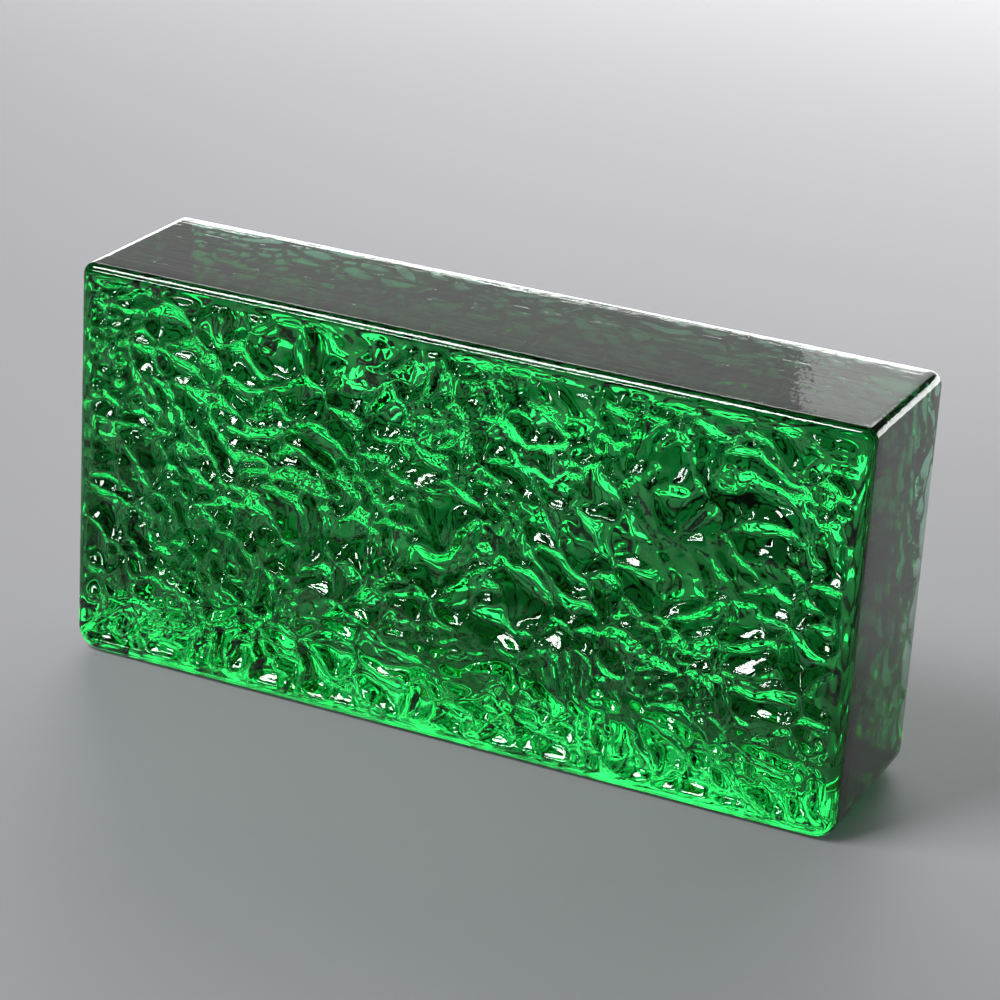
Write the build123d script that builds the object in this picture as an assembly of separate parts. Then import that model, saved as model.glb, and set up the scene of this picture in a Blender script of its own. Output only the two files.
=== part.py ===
from build123d import *
import math
import os

# A solid cast glass block for building walls and light screens, one piece of clear green glass.
# It stands on one of its long narrow sides: X runs along its length, Y through its thickness
# with the front face at -Y, and Z up its height. The origin is at the middle of that side.
# All sizes are in millimetres.

# Overall size of the casting, over the crests of its relief
length = 200.0
thickness = 50.0
height = 100.0

# Rounding left by the mould and by the fire polish
edge_radius = 2.5
upper_corner_radius = 3.2
lower_corner_radius = 6.0

# Panel of relief on each large face, inside a plain rim: its crests stand above the rim and its
# hollows sink below it, with sloping shoulders both ways
rim_depth = 1.5
hollow_depth = 1.8
rim_width = 3.0
panel_corner_radius = 1.5
shoulder_angle = 50.0

# Waves of the relief: each is shorter than the one before by the same ratio, and turned
# from it by the same angle, and a slow swirl bends them all
longest_wave = 62.0
wave_ratio = 0.8
wave_count = 4
wave_slope = 0.11
wave_turn = math.radians(137.5)
swirl_wave = 90.0
swirl_reach = 6.0
front_start = 0.7
back_start = 2.9

# Working sizes: the spacing and tolerance of the relief surface, how far it runs past the
# outline, how far the panel is rooted below its hollows, and how far it laps onto the rim
point_spacing = 4.0
surface_tolerance = 0.1
overhang = 6.0
root_depth = 1.0
lap = 0.1

# Distance of the plain rim from the middle of the thickness
rim_distance = thickness / 2 - rim_depth


def waves(x, z, start):
    """Sum of the waves at a point of a large face."""
    bent_x = x + swirl_reach * math.sin(math.tau * z / swirl_wave + start)
    bent_z = z + swirl_reach * math.cos(math.tau * x / swirl_wave - start)
    total = 0.0
    for number in range(wave_count):
        wave = longest_wave * wave_ratio ** number
        heading = start + number * wave_turn
        along = bent_x * math.cos(heading) + bent_z * math.sin(heading)
        total += wave_slope * wave / math.tau * math.sin(math.tau * along / wave + number * start)
    return total


def relief(x, z, start):
    """Height of the relief above the rim: the waves, rounded off at their hollows and crests."""
    highest_relief = rim_depth + surface_tolerance / 2
    reach = (highest_relief + hollow_depth) / 2
    return -hollow_depth + reach * (1 + math.tanh(waves(x, z, start) / reach))


def places(low, high):
    """Even places from low to high, about one point spacing apart."""
    steps = round((high - low) / point_spacing)
    return [low + (high - low) * step / steps for step in range(steps + 1)]


def outline(inset):
    """Upright outline of the block, or of a face inside it: rounded, more so at the bottom."""
    shape = Pos(0, height / 2) * Rectangle(length - 2 * inset, height - 2 * inset)
    smallest = panel_corner_radius if inset > 0 else 0
    top_corners = shape.vertices().group_by(Axis.Y)[-1]
    shape = fillet(top_corners, max(upper_corner_radius - inset, smallest))
    bottom_corners = shape.vertices().group_by(Axis.Y)[0]
    return fillet(bottom_corners, max(lower_corner_radius - inset, smallest))


def body():
    """The body of the block up to its plain rims, with every edge rounded."""
    solid = extrude(Plane.XZ * outline(0), amount=rim_distance, both=True)
    large_faces = solid.faces().sort_by(Axis.Y)
    rims = large_faces[0].outer_wire().edges() + large_faces[-1].outer_wire().edges()
    return fillet(rims, edge_radius)


def rim_plane(side):
    """Plane of the plain rim of one large face, looking outwards."""
    return Plane(origin=(0, side * rim_distance, 0), x_dir=(-side, 0, 0), z_dir=(0, side, 0))


def pocket(side):
    """Sunken field inside the rim of one large face, narrower at its floor."""
    opening = rim_plane(side) * outline(rim_width)
    return extrude(opening, amount=-(hollow_depth + root_depth), taper=shoulder_angle)


def relief_panel(side, start):
    """Field of relief that fills the pocket and rises out of it; side is -1 in front and +1 behind."""
    rows = []
    for z in places(-overhang, height + overhang):
        row = []
        for x in places(-length / 2 - overhang, length / 2 + overhang):
            row.append((x, side * (rim_distance + relief(x, z, start)), z))
        rows.append(row)
    surface = Face.make_surface_from_array_of_points(rows, tol=surface_tolerance, min_deg=3, max_deg=3)
    outside = extrude(surface, amount=rim_depth + hollow_depth + overhang, dir=(0, side, 0))
    field = rim_plane(side) * outline(rim_width - lap)
    upper = extrude(field, amount=2 * rim_depth, taper=shoulder_angle)
    lower = extrude(field, amount=-(hollow_depth + 2 * root_depth))
    return upper + lower - outside


os.makedirs("parts", exist_ok=True)
block = body() - pocket(-1) - pocket(1)
block = block + relief_panel(-1, front_start) + relief_panel(1, back_start)
block.label = "glass_block"
export_step(block, "parts/glass_block.step")
print("solids", len(block.solids()), "volume", round(block.volume), "size", block.bounding_box().size)
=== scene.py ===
import math

import bmesh
import bpy
from mathutils import Matrix, Vector, noise


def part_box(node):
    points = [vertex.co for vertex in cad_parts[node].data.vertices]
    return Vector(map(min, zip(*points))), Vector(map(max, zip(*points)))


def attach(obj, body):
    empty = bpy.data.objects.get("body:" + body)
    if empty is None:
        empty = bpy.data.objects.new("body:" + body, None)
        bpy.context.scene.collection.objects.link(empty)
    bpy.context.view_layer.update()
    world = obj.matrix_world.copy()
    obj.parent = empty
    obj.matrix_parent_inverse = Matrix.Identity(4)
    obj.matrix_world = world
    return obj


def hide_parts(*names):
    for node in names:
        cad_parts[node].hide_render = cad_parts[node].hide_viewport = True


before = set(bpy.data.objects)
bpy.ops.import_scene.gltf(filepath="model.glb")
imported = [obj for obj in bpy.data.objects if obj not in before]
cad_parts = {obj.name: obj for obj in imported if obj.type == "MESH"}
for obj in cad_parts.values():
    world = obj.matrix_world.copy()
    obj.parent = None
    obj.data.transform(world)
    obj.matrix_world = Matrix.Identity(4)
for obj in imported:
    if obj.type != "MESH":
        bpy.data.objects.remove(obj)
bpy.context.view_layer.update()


# The block: one solid casting of soda-lime glass, tinted emerald green all through and
# poured into a hot metal mould. The mould gives each large face its rippled relief inside
# a plain rim, and the fire polish leaves every face glossy and every edge round.
low, high = (Vector(corner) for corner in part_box("glass_block"))
length = high.x - low.x
height = high.z - low.z
thickness = 0.05
edge_radius = 0.0025
upper_corner_radius = 0.0032
lower_corner_radius = 0.006

# Plain rim of the large faces, and the shoulder on which the relief begins
rim_depth = 0.0015
rim_distance = thickness / 2 - rim_depth
rim_width = 0.0029
shoulder_width = 0.0026

# Crests of the relief, rounded off just inside the solid's box (far below is in roundnesses)
crest_clearance = 0.00002
crest_height = high.y - rim_distance - crest_clearance
crest_roundness = 0.0003
far_below_crests = 20

# Broad waves of the relief, as in the solid
hollow_depth = 0.0018
longest_wave = 0.062
wave_ratio = 0.8
wave_count = 4
wave_slope = 0.11
wave_turn = math.radians(137.5)
swirl_wave = 0.09
swirl_reach = 0.006
front_start = 0.7
back_start = 2.9

# Hollows between the crests: large bowls, dimples, and pits in the ridges round the bowls
bowl_size = 0.0095
bowl_depth = 0.0074
dimple_size = 0.0046
dimple_depth = 0.0033
dimple_share_in_bowls = 0.35
pit_size = 0.0027
pit_depth = 0.0011
floor_roundness = 0.05
pit_roundness = 0.08
ridge_lift = 0.0014
ridge_width = 0.3
deepest_hollow = 0.0028
pattern_turn = math.radians(20)

# Liveliness of the dimples and pits: it falls to the right, changes in patches, and has limits
mean_liveliness = 0.8
liveliness_fall = 2
patch_liveliness = 1.3
patch_size = 0.035
least_liveliness = 0.15
most_liveliness = 1.35

# Bends that push the pattern of hollows sideways: how long each is, and how far it pushes
long_bend = 0.034
long_push = 0.009
middle_bend = 0.013
middle_push = 0.0045
short_bend = 0.005
short_push = 0.0011

# Steps through the noise, which give the two faces, and the two ways of a push, their own
step_along = 7.3
step_up = 1.9
step_in = 0.37
second_step = Vector((31.7, 11.3, 5.1))

# Spacing of the mesh: across the large faces, and in steps through the thickness
spacing = 0.0007
thickness_steps = 16
edge_steps = 4
shortest_edge = 1e-4
tiny = 1e-9

# Glass: how much of red, green and blue it takes away in a metre, and how it bends light
absorption_per_metre = (102.0, 24.0, 60.0)
density = 104.0
refractive_index = 1.52

# Skin: streaks drawn on the narrow sides, orange peel, and clouds in its tint and polish
streak_scale = (24, 620, 24)
streak_detail = 3
streak_height = 0.00012
peel_scale = 330
peel_detail = 2
peel_height = 0.00008
bump_strength = 0.5
cloud_scale = 28
cloud_detail = 3
tint_levels = (0.35, 0.65)
tint_shades = ((0.88, 1.0, 0.90), (1.0, 1.0, 0.97))
polish_levels = (0.35, 0.75)
dullest_polish = 0.03


def broad_relief(x, z, start):
    """Height of the broad waves over the rim."""
    bent_x = x + swirl_reach * math.sin(math.tau * z / swirl_wave + start)
    bent_z = z + swirl_reach * math.cos(math.tau * x / swirl_wave - start)
    total = 0.0
    for number in range(wave_count):
        wave = longest_wave * wave_ratio ** number
        heading = start + number * wave_turn
        along = bent_x * math.cos(heading) + bent_z * math.sin(heading)
        phase = math.tau * along / wave + number * start
        total += wave_slope * wave / math.tau * math.sin(phase)
    reach = (crest_height + hollow_depth) / 2
    return -hollow_depth + reach * (1 + math.tanh(total / reach))


def sideways_push(point, bend, push, step):
    """Sideways push of a point, which changes over the length of a bend."""
    place = point / bend + step
    return Vector((noise.noise(place), noise.noise(place + second_step), 0)) * push


def cell(point, size, step):
    """Irregular cells: nothing on the borders between them, and most in their middles."""
    distances, _ = noise.voronoi(point / size + step)
    return distances[1] - distances[0]


def liveliness(point, step):
    """Strength of the dimples and pits at a point of a large face."""
    strength = mean_liveliness - liveliness_fall * point.x
    strength += patch_liveliness * noise.noise(point / patch_size - step)
    return min(max(strength, least_liveliness), most_liveliness)


def fine_relief(x, z, start):
    """Depth of the hollows below the broad waves."""
    point = Vector((x, z, 0))
    step = Vector((step_along * start, step_up * start, step_in))
    moved = point + sideways_push(point, long_bend, long_push, step)
    moved += sideways_push(point, middle_bend, middle_push, -step)
    moved += sideways_push(point, short_bend, short_push, step)
    along = moved.x * math.cos(pattern_turn) - moved.y * math.sin(pattern_turn)
    across = moved.x * math.sin(pattern_turn) + moved.y * math.cos(pattern_turn)
    place = Vector((along, across, 0))
    bowl = cell(place, bowl_size, step)
    dimple = math.hypot(cell(place, dimple_size, -step), floor_roundness)
    pit = math.hypot(cell(place, pit_size, 2 * step), pit_roundness)
    ridge = 1 / (1 + (bowl / ridge_width) ** 2)
    dimple_share = dimple_share_in_bowls + (1 - dimple_share_in_bowls) * ridge
    strength = liveliness(point, step)
    depth = bowl_depth * math.hypot(bowl, floor_roundness) - ridge_lift
    depth += dimple_depth * strength * dimple_share * dimple
    depth += pit_depth * strength * ridge * pit
    return deepest_hollow * math.tanh(depth / deepest_hollow)


def relief(x, z, start):
    """Height of a large face over its rim, rounded off below the height of the crests."""
    rise = broad_relief(x, z, start) - fine_relief(x, z, start)
    below_crests = (crest_height - rise) / crest_roundness
    if below_crests < far_below_crests:
        rise = crest_height - crest_roundness * math.log1p(math.exp(below_crests))
    return rise


def relief_share(distance):
    """Share of the relief at a distance from the outline: none on the rim, then all of it."""
    share = min(max((distance - rim_width) / shoulder_width, 0), 1)
    return share * share * (3 - 2 * share)


def rounded(place):
    """Place on the block of a point of the plain box, with its corners and edges rounded."""
    x, y, z = place
    corner = upper_corner_radius if z > height / 2 else lower_corner_radius
    inner_x = min(max(x, -length / 2 + corner), length / 2 - corner)
    inner_z = min(max(z, corner), height - corner)
    out = Vector((x - inner_x, 0, z - inner_z))
    reach = max(abs(out.x), abs(out.z))
    inset = corner - reach
    depth = rim_distance - abs(y)
    if inset < edge_radius and depth < edge_radius:
        down = 1 - inset / edge_radius
        back = 1 - depth / edge_radius
        angle = math.pi / 4 * (down if back >= down else 2 - back)
        inset = edge_radius * (1 - math.sin(angle))
        depth = edge_radius * (1 - math.cos(angle))
    if reach > tiny:
        on_corner = abs(out.x) > tiny and abs(out.z) > tiny
        out *= (corner - inset) / (out.length if on_corner else reach)
    return Vector((inner_x + out.x, math.copysign(rim_distance - depth, y), inner_z + out.z))


def runs_along(edge, axis):
    """Whether an edge of the plain box runs along an axis."""
    start, end = (vert.co[axis] for vert in edge.verts)
    return abs(start - end) > shortest_edge


def depth_of_row(rows_in):
    """Depth below a large face of a row of points, closer together on the round edge."""
    if rows_in <= edge_steps:
        return edge_radius * rows_in / edge_steps
    share = (rows_in - edge_steps) / (thickness_steps / 2 - edge_steps)
    return edge_radius + (rim_distance - edge_radius) * share


mesh = bmesh.new()
bmesh.ops.create_cube(mesh, size=1)
bmesh.ops.scale(mesh, vec=(length, 2 * rim_distance, height), verts=mesh.verts)
bmesh.ops.translate(mesh, vec=(0, 0, height / 2), verts=mesh.verts)
steps_by_axis = {0: round(length / spacing), 2: round(height / spacing), 1: thickness_steps}
for axis, steps in steps_by_axis.items():
    edges = [edge for edge in mesh.edges if runs_along(edge, axis)]
    bmesh.ops.subdivide_edges(mesh, edges=edges, cuts=steps - 1, use_grid_fill=True)

for vert in mesh.verts:
    row = round((vert.co.y / (2 * rim_distance) + 0.5) * thickness_steps)
    rows_in = min(row, thickness_steps - row)
    vert.co.y = math.copysign(rim_distance - depth_of_row(rows_in), row - thickness_steps / 2)
    vert.co = rounded(vert.co)
    x, y, z = vert.co
    share = relief_share(length / 2 - abs(x)) * relief_share(z) * relief_share(height - z)
    if rows_in == 0 and share > 0:
        side = math.copysign(1, y)
        vert.co.y += side * share * relief(x, z, front_start if side < 0 else back_start)
bmesh.ops.recalc_face_normals(mesh, faces=mesh.faces)
for face in mesh.faces:
    face.smooth = True
casting_mesh = bpy.data.meshes.new("glass_block_casting")
mesh.to_mesh(casting_mesh)
mesh.free()
casting = bpy.data.objects.new("glass_block_casting", casting_mesh)
bpy.context.collection.objects.link(casting)


def noise_pattern(tree, place, scale, detail):
    """Noise for a material, at the place that a socket gives."""
    texture = tree.nodes.new("ShaderNodeTexNoise")
    texture.inputs["Scale"].default_value = scale
    texture.inputs["Detail"].default_value = detail
    tree.links.new(place, texture.inputs["Vector"])
    return texture.outputs["Fac"]


def bumps(tree, pattern, distance):
    """Shallow bumps that follow a pattern, up to a distance high."""
    node = tree.nodes.new("ShaderNodeBump")
    node.inputs["Strength"].default_value = bump_strength
    node.inputs["Distance"].default_value = distance
    tree.links.new(pattern, node.inputs["Height"])
    return node


def blend(tree, pattern, levels, shades):
    """Colour that goes from one shade to another between two levels of a pattern."""
    node = tree.nodes.new("ShaderNodeValToRGB")
    for stop, level, shade in zip(node.color_ramp.elements, levels, shades):
        stop.position = level
        stop.color = (*shade, 1)
    tree.links.new(pattern, node.inputs["Fac"])
    return node.outputs["Color"]


glass = bpy.data.materials.new("green_cast_glass")
glass.use_nodes = True
tree = glass.node_tree
surface = tree.nodes["Principled BSDF"]
surface.inputs["IOR"].default_value = refractive_index
surface.inputs["Transmission Weight"].default_value = 1
place = tree.nodes.new("ShaderNodeTexCoord").outputs["Object"]
streak_place = tree.nodes.new("ShaderNodeMapping")
streak_place.inputs["Scale"].default_value = streak_scale
tree.links.new(place, streak_place.inputs["Vector"])
streaks = noise_pattern(tree, streak_place.outputs["Vector"], 1, streak_detail)
peel = noise_pattern(tree, place, peel_scale, peel_detail)
streak_bumps = bumps(tree, streaks, streak_height)
peel_bumps = bumps(tree, peel, peel_height)
tree.links.new(streak_bumps.outputs["Normal"], peel_bumps.inputs["Normal"])
tree.links.new(peel_bumps.outputs["Normal"], surface.inputs["Normal"])
clouds = noise_pattern(tree, place, cloud_scale, cloud_detail)
tint = blend(tree, clouds, tint_levels, tint_shades)
tree.links.new(tint, surface.inputs["Base Color"])
polish = tree.nodes.new("ShaderNodeMapRange")
polish.inputs["From Min"].default_value = polish_levels[0]
polish.inputs["From Max"].default_value = polish_levels[1]
polish.inputs["To Max"].default_value = dullest_polish
tree.links.new(clouds, polish.inputs["Value"])
tree.links.new(polish.outputs["Result"], surface.inputs["Roughness"])
body_tint = tree.nodes.new("ShaderNodeVolumeAbsorption")
body_colour = [1 - loss / density for loss in absorption_per_metre]
body_tint.inputs["Color"].default_value = (*body_colour, 1)
body_tint.inputs["Density"].default_value = density
tree.links.new(body_tint.outputs["Volume"], tree.nodes["Material Output"].inputs["Volume"])
casting.data.materials.append(glass)
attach(casting, "root")
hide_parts("glass_block")


# The floor: a plain grey sheet, faintly mottled. It lies a hair below the block, so that
# the bottom of the glass keeps its own inner reflection.
floor_half_width = 2.5
floor_gap = 0.0002
mottling_scale = 6
mottling_detail = 4
mottling_levels = (0, 1)
floor_shades = ((0.235, 0.235, 0.25), (0.255, 0.255, 0.27))
floor_dullness = 0.6
floor_grid = bmesh.new()
bmesh.ops.create_grid(floor_grid, x_segments=1, y_segments=1, size=floor_half_width)
bmesh.ops.translate(floor_grid, vec=(0, 0, -floor_gap), verts=floor_grid.verts)
floor_mesh = bpy.data.meshes.new("floor")
floor_grid.to_mesh(floor_mesh)
floor_grid.free()
floor = bpy.data.objects.new("floor", floor_mesh)
bpy.context.collection.objects.link(floor)
sheet = bpy.data.materials.new("grey_floor")
sheet.use_nodes = True
tree = sheet.node_tree
surface = tree.nodes["Principled BSDF"]
place = tree.nodes.new("ShaderNodeTexCoord").outputs["Object"]
mottling = noise_pattern(tree, place, mottling_scale, mottling_detail)
shade = blend(tree, mottling, mottling_levels, floor_shades)
tree.links.new(shade, surface.inputs["Base Color"])
surface.inputs["Roughness"].default_value = floor_dullness
floor.data.materials.append(sheet)


# Studio light: two softboxes at the front left give the glints. A long low one behind shines
# through the glass, and those above it lie in the gloss of the top and of its front edge.
watts_per_square_metre = 4
world_colour = (0.8, 0.8, 0.85, 1)
world_strength = 0.06


def softbox(name, place, target, size, radiance):
    """Rectangular lamp that faces its target; radiance 1 shows as plain white."""
    lamp = bpy.data.lights.new(name, "AREA")
    lamp.shape = "RECTANGLE"
    lamp.size, lamp.size_y = size
    lamp.energy = watts_per_square_metre * radiance * size[0] * size[1]
    holder = bpy.data.objects.new(name, lamp)
    holder.location = place
    facing = Vector(target) - Vector(place)
    holder.rotation_euler = facing.to_track_quat("-Z", "Y").to_euler()
    bpy.context.collection.objects.link(holder)


softbox("key_softbox", place=(-0.34, -0.4, 0.78), target=(0, 0, 0.08),
        size=(0.5, 0.24), radiance=18)
softbox("front_softbox", place=(-0.5, -0.9, 0.5), target=(0, 0, 0.08),
        size=(0.4, 0.12), radiance=16)
softbox("back_softbox", place=(0, 0.95, 0.19), target=(0, 0, 0.19),
        size=(1.9, 0.34), radiance=4.4)
softbox("upper_softbox", place=(-0.5, 1.15, 0.62), target=(-0.5, 0, 0.62),
        size=(1.2, 0.44), radiance=0.45)
softbox("right_softbox", place=(-0.06, 1.12, 0.56), target=(-0.06, 0, 0.4),
        size=(0.5, 0.36), radiance=0.65)
softbox("top_softbox", place=(-0.15, 0.42, 0.45), target=(0, 0, 0.05),
        size=(0.6, 0.16), radiance=2.3)
world = bpy.data.worlds.new("studio")
world.use_nodes = True
world.node_tree.nodes["Background"].inputs["Color"].default_value = world_colour
world.node_tree.nodes["Background"].inputs["Strength"].default_value = world_strength
bpy.context.scene.world = world


# Camera: at the front right and above, with a long lens, as in the photograph.
camera_place = (0.309, -0.6889, 0.3577)
camera_right = Vector((0.9021, 0.4276, 0.0585)).normalized()
camera_forward = Vector((-0.3775, 0.8474, -0.3734)).normalized()
camera_up = camera_right.cross(camera_forward).normalized()
camera_right = camera_forward.cross(camera_up).normalized()
camera_data = bpy.data.cameras.new("camera")
camera_data.lens = 123.8
camera_data.sensor_width = 36
camera_data.clip_start = 0.01
camera = bpy.data.objects.new("camera", camera_data)
turn = Matrix((camera_right, camera_up, -camera_forward)).transposed()
camera.matrix_world = Matrix.Translation(camera_place) @ turn.to_4x4()
bpy.context.collection.objects.link(camera)
scene = bpy.context.scene
scene.camera = camera
scene.view_settings.view_transform = "Standard"
